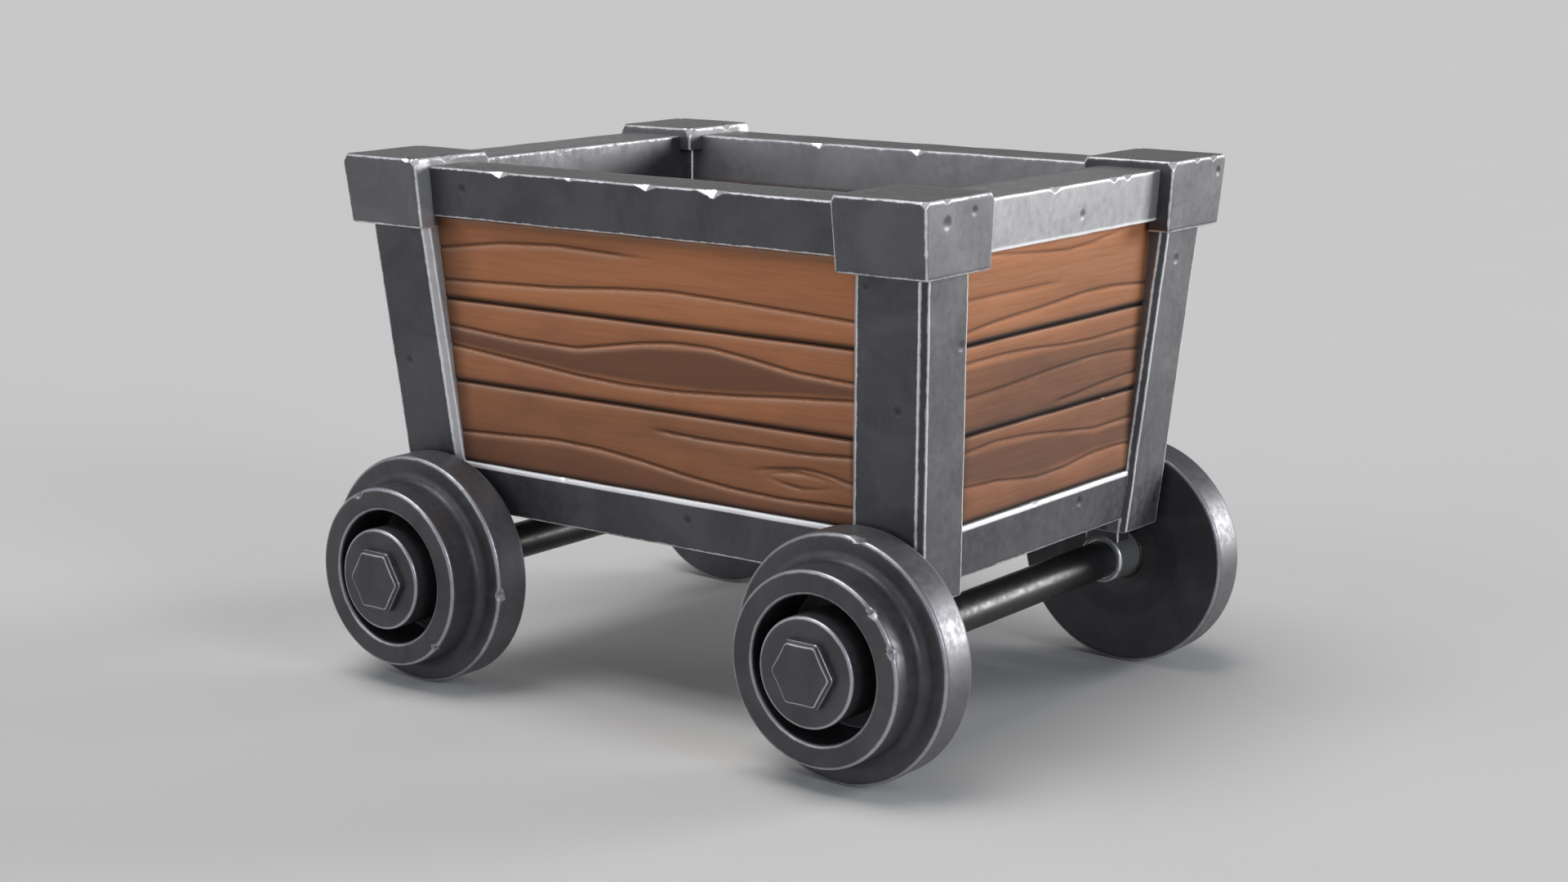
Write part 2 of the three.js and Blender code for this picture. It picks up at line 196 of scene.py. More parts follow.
CAMERA_AT = (2.660, -3.493, 1.318)
CAMERA_AIM = (0.0, 0.0, 0.40)
CAMERA_LENS = 60.0


class Nick(NamedTuple):
    """A wedge knocked out of an edge: before and after are its lengths each way along the edge."""

    centre: tuple
    along: tuple
    outward: tuple
    before: float
    after: float
    depth: float


class Dent(NamedTuple):
    """A shallow bowl in a face."""

    centre: tuple
    outward: tuple
    radius: float
    depth: float


class EdgeNick(NamedTuple):
    """A nick in the top edge of a block, at a part of the edge's length counted from its -x or -y end."""

    face: tuple
    part: float
    before: float
    after: float
    depth: float


class FaceDent(NamedTuple):
    """A dent in a block's face, at a part of the face's length and a part of its height."""

    face: tuple
    part: float
    up: float
    radius: float
    depth: float


class WheelNick(NamedTuple):
    """A nick in the outer edge of a wheel's tread or flange, turned so many degrees up from the front."""

    rim: str
    turn: float
    before: float
    after: float
    depth: float


RIGHT, FRONT = (0, -1, 0), (1, 0, 0)

# Nicks and dents of each piece. The marks on the sides that the photo shows follow it, the others are
# invented.
DAMAGE = {
    "top_rail_right": [
        EdgeNick(RIGHT, 0.2, 20, 26, 7),
        EdgeNick(RIGHT, 0.37, 9, 14, 3),
        EdgeNick(RIGHT, 0.55, 24, 22, 7),
        EdgeNick(RIGHT, 0.7, 30, 24, 9),
        FaceDent(RIGHT, 0.1, 0.6, 9, 1.3),
    ],
    "top_rail_front": [
        EdgeNick(FRONT, 0.4, 14, 20, 6),
        EdgeNick(FRONT, 0.7, 13, 10, 5),
        EdgeNick(FRONT, 0.77, 12, 14, 5),
        FaceDent(FRONT, 0.55, 0.4, 9, 1.3),
    ],
    "top_rail_left": [EdgeNick(RIGHT, 0.57, 14, 20, 6), EdgeNick(RIGHT, 0.33, 18, 12, 5)],
    "top_rail_rear": [EdgeNick(FRONT, 0.4, 12, 18, 5)],
    "corner_cap_front_right": [
        EdgeNick(FRONT, 0.3, 9, 12, 4),
        FaceDent(FRONT, 0.3, 0.7, 11, 1.6),
        FaceDent(FRONT, 0.7, 0.8, 8, 1.3),
    ],
    "corner_cap_front_left": [
        EdgeNick(FRONT, 0.75, 10, 14, 5),
        EdgeNick(FRONT, 0.45, 12, 8, 4),
        FaceDent(FRONT, 0.87, 0.77, 8, 1.6),
    ],
    "corner_cap_rear_left": [EdgeNick(FRONT, 0.6, 12, 16, 5)],
    "corner_cap_rear_right": [EdgeNick(FRONT, 0.4, 14, 20, 5), EdgeNick(RIGHT, 0.9, 12, 16, 4)],
    "corner_post_front_right": [
        FaceDent(RIGHT, 0.65, 0.5, 9, 1.4),
        FaceDent(RIGHT, 0.2, 0.8, 8, 1.2),
        FaceDent(FRONT, 0.8, 0.65, 9, 1.4),
    ],
    "corner_post_front_left": [FaceDent(FRONT, 0.4, 0.75, 9, 1.4), FaceDent(FRONT, 0.8, 0.07, 8, 1.3)],
    "corner_post_rear_right": [FaceDent(RIGHT, 0.35, 0.45, 9, 1.4)],
    "sill_right": [FaceDent(RIGHT, 0.6, 0.6, 9, 1.4), EdgeNick(RIGHT, 0.28, 12, 10, 3)],
    "sill_front": [FaceDent(FRONT, 0.7, 0.7, 9, 1.4), EdgeNick(FRONT, 0.42, 12, 10, 3)],
    "wheel_front_right": [
        WheelNick("tread", 45, 12, 10, 6),
        WheelNick("tread", 20, 10, 12, 6),
        WheelNick("flange", 80, 12, 16, 7),
    ],
    "wheel_rear_right": [
        WheelNick("tread", 115, 12, 16, 6),
        WheelNick("tread", -45, 8, 10, 5),
        WheelNick("flange", -5, 12, 14, 7),
    ],
    "wheel_front_left": [WheelNick("flange", -80, 14, 16, 7), WheelNick("tread", 40, 12, 10, 6)],
    "wheel_rear_left": [WheelNick("tread", 120, 12, 14, 6)],
}
NICK_LEAN = {"tread": 1.2, "flange": 0.4}  # how far a wheel's nick faces along the axle


class Line(NamedTuple):
    """A carved grain line: points (along from the left, up from the bottom) in percent, seen from outside."""

    points: tuple
    depth: float = 1.0


# Grain of one long wall and one end wall, bottom plank first. A plank's dark band lies between two heights
# that change along it: (along, lower height, upper height) in percent. Its painted shadow reaches so many
# millimetres in from its left end, in from its right end and down from its upper edge.
SIDE_GRAIN = [
    {
        "lines": [
            Line(((0, 37), (26, 45), (38, 43), (49, 36.5), (60, 28), (72, 22), (83, 20), (100, 23))),
            Line(((50, 77), (66, 74), (78, 75.5), (89, 75.5), (100, 80))),
            Line(((75, 47), (81, 53), (88.7, 58.5), (94.2, 56), (100, 49)), 0.8),
            Line(((78.5, 45), (83, 51), (87.5, 53.5), (92, 51.5), (97, 45)), 0.8),
            Line(((78.5, 45), (83, 39), (88, 35.5), (92, 37.5), (97, 45)), 0.8),
        ],
        "band": 0.3,
        "dark": ((0, -20, 34), (30, -20, 41), (50, -20, 33), (72, -20, 19), (100, -20, 20)),
        "painted_shadow": (36, 10, 0),
    },
    {
        "lines": [
            Line((
                (0, 67.5), (17, 61), (33.5, 59.5), (50, 76), (58.5, 81), (67, 80.6), (75, 75.4),
                (86.5, 65.6), (100, 62),
            )),
            Line((
                (0, 43), (22, 32.7), (33.5, 27), (44.5, 24), (58.5, 25), (72.5, 30), (86.5, 37),
                (100, 42.7),
            )),
        ],
        "band": 0.7,
        "painted_shadow": (38, 10, 0),
        "dark": ((0, 45, 65), (33.5, 30, 57), (50, 27, 72), (67, 30, 78), (86.5, 40, 63), (100, 45, 60)),
    },
    {
        "lines": [
            Line(((0, 61), (16, 74), (30, 78), (46, 75), (54, 74))),
            Line(((0, 22), (30, 28), (44, 35), (57, 39), (73, 36), (90, 31.5), (100, 29))),
        ],
        "band": 0.12,
        "painted_shadow": (105, 14, 40),
        "dark": ((0, 26, 60), (30, 32, 75), (57, 42, 70), (100, 34, 80)),
    },
]
END_GRAIN = [
    {
        "lines": [
            Line(((0, 81), (20, 84.5), (37, 81), (60, 71.7), (76, 65), (88, 65), (100, 66)), 0.65),
            Line(((0, 42.5), (20, 38.5), (43, 28), (60, 29), (76, 35.5), (88, 36), (100, 34)), 0.65),
        ],
        "band": 0.45,
        "painted_shadow": (34, 26, 0),
        "dark": ((0, 45, 78), (43, 32, 77), (76, 38, 62), (100, 36, 62)),
    },
    {
        "lines": [
            Line(((0, 80), (20, 81.5), (35, 80), (57, 74), (73, 72.5), (90, 74), (100, 75)), 0.65),
            Line(((0, 41), (25, 44), (47, 49), (69, 52), (85, 51), (100, 47)), 0.65),
            Line(((50, 10), (65, 13), (80, 17), (100, 20)), 0.65),
        ],
        "band": 0.4,
        "painted_shadow": (10, 28, 0),
        "dark": ((0, -20, 77), (50, -20, 74), (80, -10, 72), (100, 15, 72)),
    },
    {
        "lines": [
            Line(((2, 97), (20, 93), (40, 87), (55, 83), (70, 87), (85, 95), (95, 98)), 0.5),
            Line(((0, 49), (25, 49), (55, 48.7)), 0.5),
            Line(((0, 12.5), (20, 20), (43, 24), (65, 30), (80, 30), (100, 24.5)), 0.65),
        ],
        "band": 0.1,
        "painted_shadow": (10, 32, 12),
        "dark": ((0, 16, 46), (50, 27, 45), (100, 28, 50)),
    },
]
CURVE_SAMPLES = 240
CURVE_BLUR = 13  # samples
BAND_SOFTNESS = 0.06  # part of a plank's height over which a dark band's edge fades


# ---------- reading the frame


def crossing(node, axis, value):
    """Points where the edges of a CAD node's mesh cross the plane at that value of one axis."""
    mesh = frame["nodes"][node].data
    points = np.array([v.co for v in mesh.vertices])
    ends = np.array([e.vertices for e in mesh.edges])
    a, b = points[ends[:, 0]], points[ends[:, 1]]
    from_a, from_b = a[:, axis] - value, b[:, axis] - value
    hit = from_a * from_b < 0
    part = from_a[hit] / (from_a[hit] - from_b[hit])
    return a[hit] + (b[hit] - a[hit]) * part[:, None]


class Slab:
    """A leaning block in millimetres: its plan, a box from low to high, changes evenly with height."""

    def __init__(self, node):
        low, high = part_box(node)
        self.bottom, self.top = low.z / MM, high.z / MM
        self.levels = [self.bottom + part * (self.top - self.bottom) for part in (0.2, 0.8)]
        cuts = [crossing(node, 2, level * MM) / MM for level in self.levels]
        self.plans = [np.array([cut.min(0)[:2], cut.max(0)[:2]]) for cut in cuts]
        middle = (self.plans[0] + self.plans[1]).sum(0) / 4
        size = self.plans[0][1] - self.plans[0][0]
        self.along = int(np.argmax(size))
        self.across = 1 - self.along
        self.sides = np.where(middle < 0, -1.0, 1.0)

    def plan(self, z):
        """The lowest and highest x and y at a height."""
        part = (z - self.levels[0]) / (self.levels[1] - self.levels[0])
        return self.plans[0] + (self.plans[1] - self.plans[0]) * part

    def outer(self, axis, z):
        """How far the block reaches outwards along an axis, as a distance from the middle of the cart."""
        return np.abs(self.plan(z)[:, axis]).max()

    def inner(self, axis, z):
        return np.abs(self.plan(z)[:, axis]).min()

    def inset(self, z, by):
        """The plan at a height, drawn in on all four sides."""
        return self.plan(z) + np.array([[by], [-by]])


class Round:
    """A round CAD node in millimetres; start and end are distances along the axle from the cart's middle."""

    def __init__(self, node):
        low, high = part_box(node)
        self.middle = (low + high) / 2 / MM
        self.side = -1.0 if self.middle.y < 0 else 1.0
        self.start, self.end = sorted((abs(low.y) / MM, abs(high.y) / MM))
        self.radius = (high.z - low.z) / 2 / MM
        self.corner = (high.x - low.x) / 2 / MM


def face_point(slab, face, part, up):
    """A point on a block's face, at a part of the face's length and a part of its height."""
    axis = 0 if face[0] else 1
    z = slab.bottom + up * (slab.top - slab.bottom)
    low, high = slab.plan(z)
    point = low + part * (high - low)
    reach = slab.outer if face[axis] == slab.sides[axis] else slab.inner
    point[axis] = slab.sides[axis] * reach(axis, z)
    return (point[0], point[1], z)


def block_marks(node, slab):
    """A block's nicks and dents, put where its CAD node is."""
    marks = []
    for mark in DAMAGE.get(node, []):
        if isinstance(mark, FaceDent):
            centre = face_point(slab, mark.face, mark.part, mark.up)
            marks.append(Dent(centre, mark.face, mark.radius, mark.depth))
            continue
        centre = face_point(slab, mark.face, mark.part, 1.0)
        along = (abs(mark.face[1]), abs(mark.face[0]), 0)
        outward = (mark.face[0], mark.face[1], 1)
        marks.append(Nick(centre, along, outward, mark.before, mark.after, mark.depth))
    return marks


def wheel_marks(node, body):
    """A wheel's nicks, put on the edges of its tread and its flange."""
    middle = body.middle
    edges = {"tread": (TREAD_RADIUS, body.end), "flange": (middle.z, body.start + FLANGE_THICK)}
    marks = []
    for mark in DAMAGE.get(node, []):
        radius, out = edges[mark.rim]
        x, z = math.cos(math.radians(mark.turn)), math.sin(math.radians(mark.turn))
        centre = (middle.x + radius * x, body.side * out, middle.z + radius * z)
        outward = (x, body.side * NICK_LEAN[mark.rim], z)
        marks.append(Nick(centre, (-z, 0, x), outward, mark.before, mark.after, mark.depth))
    return marks


# ---------- points


def unit(vector):
    vector = np.asarray(vector, float)
    return vector / np.linalg.norm(vector)


def refined(values, centres):
    """Sorted values with finer steps added round each centre, and none closer than half a fine step."""
    low, high = min(values), max(values)
    more = [np.arange(c - FINE_REACH, c + FINE_REACH, FINE_STEP) for c in centres]
    merged = np.sort(np.concatenate([values, *more]))
    merged = merged[(merged >= low) & (merged <= high)]
    kept = [merged[0]]
    for value in merged[1:]:
        if value - kept[-1] > FINE_STEP / 2:
            kept.append(value)
    kept[-1] = high
    return np.array(kept)


def side_steps(length, spacing, centres=()):
    """Distances along a side between its rounded ends, with rows close to both ends."""
    rows = [row for row in EDGE_ROWS if row < length / 3]
    if spacing < EDGE_ROWS[0] or not rows:
        count = max(2, round(length / spacing))
        return np.linspace(0, length, count + 1)[1:-1]
    count = max(1, round((length - 2 * rows[-1]) / spacing))
    middle = np.linspace(rows[-1], length - rows[-1], count + 1)
    steps = np.concatenate([rows[:-1], middle, [length - row for row in rows[:-1]]])
    near = [c for c in centres if -FINE_REACH < c < length + FINE_REACH]
    return refined(np.sort(steps), near) if near else np.sort(steps)


def outline(corners, rounding, spacing, marks=()):
    """Points round a polygon with rounded corners, and how far each is from the nearest corner.

    spacing holds one value per side, counted from the corner it starts at. Points lie closer round marks.
    """
    corners = np.array(corners, float)
    marks = np.array(marks, float).reshape(-1, 2)
    points, reach = [], []
    for i, here in enumerate(corners):
        after, following = corners[(i + 1) % len(corners)], rounding[(i + 1) % len(corners)]
        start = here + rounding[i] * unit(corners[i - 1] - here)
        end = here + rounding[i] * unit(after - here)
        for t in np.linspace(0, 1, ARC_STEPS + 1):
            points.append((1 - t) ** 2 * start + 2 * t * (1 - t) * here + t * t * end)
            reach.append(abs(t - 0.5) * 1.5 * rounding[i])
        stop = after + following * unit(here - after)
        length, way = np.linalg.norm(stop - end), unit(stop - end)
        along = (marks - end) @ way
        off = np.abs((marks - end) @ np.array([way[1], -way[0]]))
        for t in side_steps(length, spacing[i], along[off < FINE_REACH]):
            points.append(end + t * way)
            reach.append(min(t + 0.75 * rounding[i], length - t + 0.75 * following))
    return np.array(points), np.array(reach)


def ripple(points, height, wave, seed):
    """The points moved by slow waves, so that no face is dead flat."""
    rng = np.random.default_rng(seed)
    moved = points.copy()
    for _ in range(5):
        way = unit(rng.normal(size=3)) * 2 * math.pi / wave
        lift = unit(rng.normal(size=3)) * height / 2
        moved += np.sin(points @ way + rng.uniform(0, 2 * math.pi))[..., None] * lift
    return moved


def knock(points, reach, damage, scar=0.0):
    """Applies nicks and dents in place and returns how much they darken; scar is that of a nick's middle."""
    pit_and_shade = np.zeros_like(reach)
    for mark in damage:
        outward = unit(mark.outward)
        away = points - np.array(mark.centre, float)
        height = away @ outward
        if isinstance(mark, Dent):
            flat = np.linalg.norm(away - height[..., None] * outward, axis=-1)
            near = (flat < mark.radius) & (np.abs(height) < FINE_REACH)
            bowl = 1 - (flat[near] / mark.radius) ** 2
            points[near] -= mark.depth * bowl[:, None] * outward
            pit_and_shade[near] = bowl
            continue
        along = unit(mark.along)
        run = away @ along
        rest = away - run[..., None] * along
        height = rest @ outward
        beside = np.linalg.norm(rest - height[..., None] * outward, axis=-1)
        span = np.where(run < 0, mark.before, mark.after)
        near = (np.abs(run) < span) & (beside < 2 * FINE_REACH) & (np.abs(height) < 2 * FINE_REACH)
        if not near.any():
            continue
        limit = height[near].max() - mark.depth * (1 - np.abs(run) / span)
        cut = near & (height > limit)
        sunk = (height - limit)[cut]
        points[cut] -= sunk[:, None] * outward
        reach[cut] = 0.0
        pit_and_shade[cut] = scar * np.clip(sunk / mark.depth, 0, 1)
    return pit_and_shade


# ---------- meshes


def mesh_object(name, points, faces, values):
    """An object from points in millimetres, with named values on its points."""
    mesh = bpy.data.meshes.new(name)
    mesh.from_pydata((points.reshape(-1, 3) * MM).tolist(), [], faces)
    for key, data in values.items():
        kind = "FLOAT_VECTOR" if data.shape[-1:] == (3,) and data.ndim > 1 else "FLOAT"
        layer = mesh.attributes.new(key, kind, "POINT")
        field = "vector" if kind == "FLOAT_VECTOR" else "value"
        layer.data.foreach_set(field, data.ravel().astype(np.float32))
    work = bmesh.new()
    work.from_mesh(mesh)
    bmesh.ops.recalc_face_normals(work, faces=work.faces)
    work.to_mesh(mesh)
    work.free()
    mesh.shade_smooth()
    mesh.set_sharp_from_angle(angle=math.radians(SHARP_ANGLE))
    obj = bpy.data.objects.new(name, mesh)
    bpy.context.scene.collection.objects.link(obj)
    return obj


def loft(name, rings, values, closed=False):
    """A closed skin through rings of points; closed joins the last ring to the first."""
    count, size = rings.shape[:2]
    index = np.arange(count * size).reshape(count, size)
    here = index if closed else index[:-1]
    there = np.roll(index, -1, 0) if closed else index[1:]
    quads = np.stack([here, np.roll(here, -1, 1), np.roll(there, -1, 1), there], -1)
    faces = quads.reshape(-1, 4).tolist()
    if not closed:
        faces += [index[0][::-1].tolist(), index[-1].tolist()]
    flat = {}
    for key, data in values.items():
        flat[key] = data.reshape(-1, 3) if data.ndim == 3 else data.reshape(-1)
    return mesh_object(name, rings, faces, flat)


def show(node, material, rings, values, closed=False):
    """Lofts the piece that takes a CAD node's place."""
    piece = loft("vis_" + node, rings, values, closed)
    piece.data.materials.append(material)
    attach(piece, frame["nodes"][node]["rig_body"])
    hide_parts(node)


# ---------- steel bars, posts and caps


def bar_rings(slab, stations, section, side):
    """Rings of one section (distance to that side, height), repeated along a bar."""
    rings = np.zeros((len(stations), len(section), 3))
    rings[..., slab.along] = stations[:, None]
    rings[..., slab.across] = section[:, 0] * side
    rings[..., 2] = section[:, 1]
    return rings


def plain_rings(slab, edge, step):
    """Rings of an upright block with eased edges, and the distance of each point from an edge."""
    low, high = slab.plan(slab.top)
    near, far = low[slab.across], high[slab.across]
    corners = [(far, slab.top), (far, slab.bottom), (near, slab.bottom), (near, slab.top)]
    section, reach = outline(corners, [edge] * 4, [PLAIN_STEP] * 4)
    start, end = low[slab.along], high[slab.along]
    stations = np.linspace(start, end, round((end - start) / step))
    return bar_rings(slab, stations, section, 1.0), np.tile(reach, (len(stations), 1))


def bar_corners(slab):
    """A bar's section as (distance from the middle of the cart, height), outer top corner first."""
    top, bottom = slab.top, slab.bottom
    order = [(slab.outer, top), (slab.outer, bottom), (slab.inner, bottom), (slab.inner, top)]
    return [(face(slab.across, z), z) for face, z in order]


def bar_ends(slab):
    """Both ends of a bar, run on into the posts."""
    middle = (slab.bottom + slab.top) / 2
    low, high = slab.plan(middle)[:, slab.along]
    return low - BURIED, high + BURIED


def steel_piece(node, material, rings, reach, damage, seed, wear_and_light=None, shade=0.0):
    """Finishes a steel piece from its rings: unevenness, damage and the values its material reads."""
    rings = ripple(rings, *STEEL_RIPPLE, seed)
    # dents darken here, and shade adds painted shade
    pit_and_shade = np.maximum(knock(rings, reach, damage), shade)
    values = {"edge": reach * MM, "pit_and_shade": pit_and_shade, "wear_and_light": np.zeros_like(reach) if wear_and_light is None else wear_and_light}
    show(node, material, rings, values)


def steel_bar(node, material, seed):
    """A rail or a sill."""
    slab = Slab(node)
    side = slab.sides[slab.across]
    damage = block_marks(node, slab)
    low, high = bar_ends(slab)
    along = [mark.centre[slab.along] for mark in damage]
    stations = refined(np.arange(low, high, STEEL_ALONG), along)
    marks = [(abs(mark.centre[slab.across]), mark.centre[2]) for mark in damage]
    if slab.top < SILL_TOP:
        marks.append((slab.outer(slab.across, slab.top), slab.top - LEDGE_HIGHLIGHT))
    section, reach = outline(bar_corners(slab), [STEEL_EDGE] * 4, [STEEL_STEP] * 4, marks)
    rings = bar_rings(slab, stations, section, side)
    reach = np.tile(reach, (len(stations), 1))
    steel_piece(node, material, rings, reach, damage, seed, bar_wear_and_light(node, slab, rings))


def bearer(node, material, seed):
    """A plain steel bar across the cart under the floor."""
    rings, reach = plain_rings(Slab(node), STEEL_EDGE, PLAIN_STEP)
    steel_piece(node, material, rings, reach, [], seed)


def bar_wear_and_light(node, slab, rings):
    """How bright wear and painted light make a rail or a sill: fully on a sill's ledge and under an end
    rail's outer face.
    """
    out = rings[..., slab.across] * slab.sides[slab.across]
    mean = (slab.outer(slab.across, slab.top) + slab.inner(slab.across, slab.top)) / 2
    inside = out < mean - BAR_HALF
    faces = np.where(inside, INNER_WORN_AND_LIT.get(node, OTHER_INNER_WORN_AND_LIT), WORN_AND_LIT_PIECES.get(node, 0.0))
    height = rings[..., 2]
    if slab.top < SILL_TOP:
        full = height > slab.top - LEDGE_HIGHLIGHT
    else:
        full = (height < slab.bottom + LEDGE_HIGHLIGHT / 2) & (slab.along == 1)
    return np.maximum(faces, (full & (out > mean)) * 1.0)


def levels(slab, edge, damage, inner):
    """Heights of a block's rings as (height, inset, distance from an edge), rounded at both ends."""
    bottom, top = slab.bottom, slab.top
    arc = [(0.0, edge + row, row + edge * 0.75) for row in sorted(inner, reverse=True)]
    for turn in [math.pi / 2 * i / ARC_STEPS for i in range(ARC_STEPS + 1)]:
        far = edge * abs(turn / math.pi * 2 - 0.5) * 1.5
        arc.append((edge * (1 - math.cos(turn)), edge * (1 - math.sin(turn)), far))
    length = top - bottom - 2 * edge
    steps = side_steps(length, STEEL_ALONG, [mark.centre[2] - bottom - edge for mark in damage])
    rows = [(bottom + up, inset, far) for up, inset, far in arc]
    rows += [(bottom + edge + t, 0.0, min(t, length - t) + edge * 0.75) for t in steps]
    rows += [(top - down, inset, far) for down, inset, far in reversed(arc)]
    return rows


def ring_at(plan, z):
    """A level ring of plan points."""
    return np.column_stack([plan, np.full(len(plan), z)])


def pile(rows, plan_at, reach, edge):
    """Rings for rows from levels(), and the distance of each point from an edge."""
    rings = [ring_at(plan_at(z, inset), z) for z, inset, _ in rows]
    reaches = [np.full_like(reach, far) if inset > edge else np.minimum(reach, far) for _, inset, far in rows]
    return np.array(rings), np.array(reaches)


def stretched(points, old, new):
    """Plan points moved from one box to another."""
    part = (points - old[0]) / (old[1] - old[0])
    return new[0] + part * (new[1] - new[0])


def steel_post(node, material, seed):
    """A corner post: every upright edge but the innermost is chamfered over its whole height."""
    slab = Slab(node)
    damage = block_marks(node, slab)
    home = slab.plan(slab.bottom)
    out = [slab.outer(axis, slab.bottom) * slab.sides[axis] for axis in (0, 1)]
    inn = [slab.inner(axis, slab.bottom) * slab.sides[axis] for axis in (0, 1)]
    cut_x, cut_y = POST_CHAMFER * slab.sides
    corners = [
        (out[0], out[1] - cut_y), (out[0], inn[1] + cut_y), (out[0] - cut_x, inn[1]), (inn[0], inn[1]),
        (inn[0], out[1] - cut_y), (inn[0] + cut_x, out[1]), (out[0] - cut_x, out[1]),
    ]
    rounding = [SMALL_EDGE] * 3 + [STEEL_EDGE] + [SMALL_EDGE] * 3
    spacing = [STEEL_STEP, CHAMFER_STEP, STEEL_STEP] + [STEEL_STEP, CHAMFER_STEP] * 2
    lean = slab.plan(slab.bottom + 1)[0] - home[0]
    marks = [np.array(m.centre[:2]) - lean * (m.centre[2] - slab.bottom) for m in damage]
    section, reach = outline(corners, rounding, spacing, marks)
    out_x, out_y = np.abs(section - out).T
    inn_x, inn_y = np.abs(section - inn).T
    # painted shade on the two outer chamfers
    shade = CHAMFER_SHADE * (chamfered(out_x, out_y) | chamfered(out_x, inn_y))
    # painted light on the strips beside the planks and on the face towards the end of the cart
    side_strip = (inn_x < 1) & (out_y < STRIP_WIDTH) | chamfered(inn_x, out_y)
    end_strip = (inn_y < 1) & (out_x < STRIP_WIDTH)
    rows = levels(slab, STEEL_EDGE, damage, POST_TOP_ROWS)
    rings, reach = pile(rows, lambda z, by: stretched(section, home, slab.inset(z, by)), reach, STEEL_EDGE)
    side_painted_light = STRIP_PAINTED_LIGHT[0] if slab.sides[1] < 0 else LEFT_STRIP_PAINTED_LIGHT
    wear_and_light = side_strip * side_painted_light + end_strip * STRIP_PAINTED_LIGHT[1] + (out_x < 1) * POST_FACE_PAINTED_LIGHT
    wear_and_light = np.tile(wear_and_light, (len(rings), 1))
    steel_piece(node, material, rings, reach, damage, seed, wear_and_light, shade)


def chamfered(a, b):
    """Which points lie on a chamfer, from their distances to the two faces it joins."""
    return (a > 1.0) & (b > 1.0) & (a + b < POST_CHAMFER + 2)


def hollowed(plan, slab, box):
    """A cap's plan below its inner skirt: only the two outer lips are left, each CAP_LIP thick."""
    outer = np.where(slab.sides > 0, box[1], box[0])
    size = box[1] - box[0]
    inward = np.abs(plan - outer)
    free = size - CAP_LIP
    inside = (inward > CAP_LIP).all(1)
    past = size - inward
    on_far_y = inside & (past[:, 1] / free[1] < past[:, 0] / free[0])
    on_far_x = inside & ~on_far_y
    folded = inward.copy()
    part = (inward[on_far_y, 0] - CAP_LIP) / free[0]
    folded[on_far_y] = np.column_stack([np.full(len(part), CAP_LIP), size[1] - free[1] * part])
    part = (size[1] - inward[on_far_x, 1]) / free[1]
    folded[on_far_x] = np.column_stack([CAP_LIP + free[0] * part, np.full(len(part), CAP_LIP)])
    return outer - slab.sides * folded


def knocked_corners(box, top, seed):
    """The four top corners of a cap, each flattened by a different amount."""
    rng = np.random.default_rng(seed)
    middle = box.mean(0)
    corners = [(x, y) for x in box[:, 0] for y in box[:, 1]]
    marks = []
    for x, y in corners:
        way = np.sign(np.array([x, y]) - middle)
        outward = (way[0], way[1], 0.8)
        marks.append(Nick((x, y, top), (-way[1], way[0], 0), outward, 60, 60, rng.uniform(*CAP_KNOCKS)))
    return marks


def steel_cap(node, material, seed):
    """A corner cap over a post's head and the ends of two rails."""
    slab = Slab(node)
    damage = block_marks(node, slab) + knocked_corners(slab.plan(slab.top), slab.top, seed)
    box = slab.plan(slab.top)
    outer = np.where(slab.sides > 0, box[1], box[0])
    inner = np.where(slab.sides > 0, box[0], box[1])
    corners = [(outer[0], outer[1]), (outer[0], inner[1]), (inner[0], inner[1]), (inner[0], outer[1])]
    marks = [m.centre[:2] for m in damage]
    section, reach = outline(corners, [CAP_EDGE] * 4, [STEEL_STEP] * 4, marks)
    ceiling = slab.top - CAP_SKIRT
    rows = levels(slab, CAP_EDGE, damage, CAP_TOP_ROWS)
    below = [row for row in rows if row[0] < ceiling and row[1] <= CAP_EDGE] + [(ceiling, 0.0, 20.0)]
    above = [(ceiling, 0.0, 3.0)] + [row for row in rows if row[0] > ceiling]

    def whole(z, by):
        return stretched(section, box, slab.inset(z, by))

    def folded(z, by):
        return hollowed(whole(z, by), slab, slab.inset(z, by))

    skirt, skirt_reach = pile(below, folded, reach, CAP_EDGE)
    head, head_reach = pile(above, whole, reach, CAP_EDGE)
    rings, reach = np.concatenate([skirt, head]), np.concatenate([skirt_reach, head_reach])
    # painted light on a cap's side strip and on its face towards the end of the cart
    strip = (np.abs(section[:, 0] - inner[0]) < 1) & (np.abs(section[:, 1] - outer[1]) < STRIP_WIDTH)
    face = np.abs(section[:, 0] - outer[0]) < 1
    sides = (strip * CAP_STRIP_PAINTED_LIGHT + face * CAP_FACE_PAINTED_LIGHT) * (rings[..., 2] < slab.top - 0.5)
    steel_piece(node, material, rings, reach, damage, seed, WORN_AND_LIT_PIECES.get(node, 0.0) + sides)


# ---------- planks and boards


def smooth_curve(points, at):
    """A soft curve through given points in percent, read at parts of the length."""
    grid = np.linspace(-0.1, 1.1, CURVE_SAMPLES)
    known = np.array(points) / 100
    values = np.interp(grid, known[:, 0], known[:, 1])
    kernel = np.hanning(CURVE_BLUR + 2)[1:-1]
    kernel /= kernel.sum()
    padded = np.pad(values, CURVE_BLUR, mode="edge")
    values = np.convolve(padded, kernel, mode="same")[CURVE_BLUR:-CURVE_BLUR]
    return np.interp(at, grid, values)


def fade(points, at):
    """1 along a line, easing to 0 where the line stops short of a plank's end."""
    first, last = points[0][0] / 100, points[-1][0] / 100
    start = np.ones_like(at) if first <= 0 else np.clip((at - first) / LINE_FADES[0], 0, 1)
    stop = np.ones_like(at) if last >= 1 else np.clip((last - at) / LINE_FADES[1], 0, 1)
    return start * stop


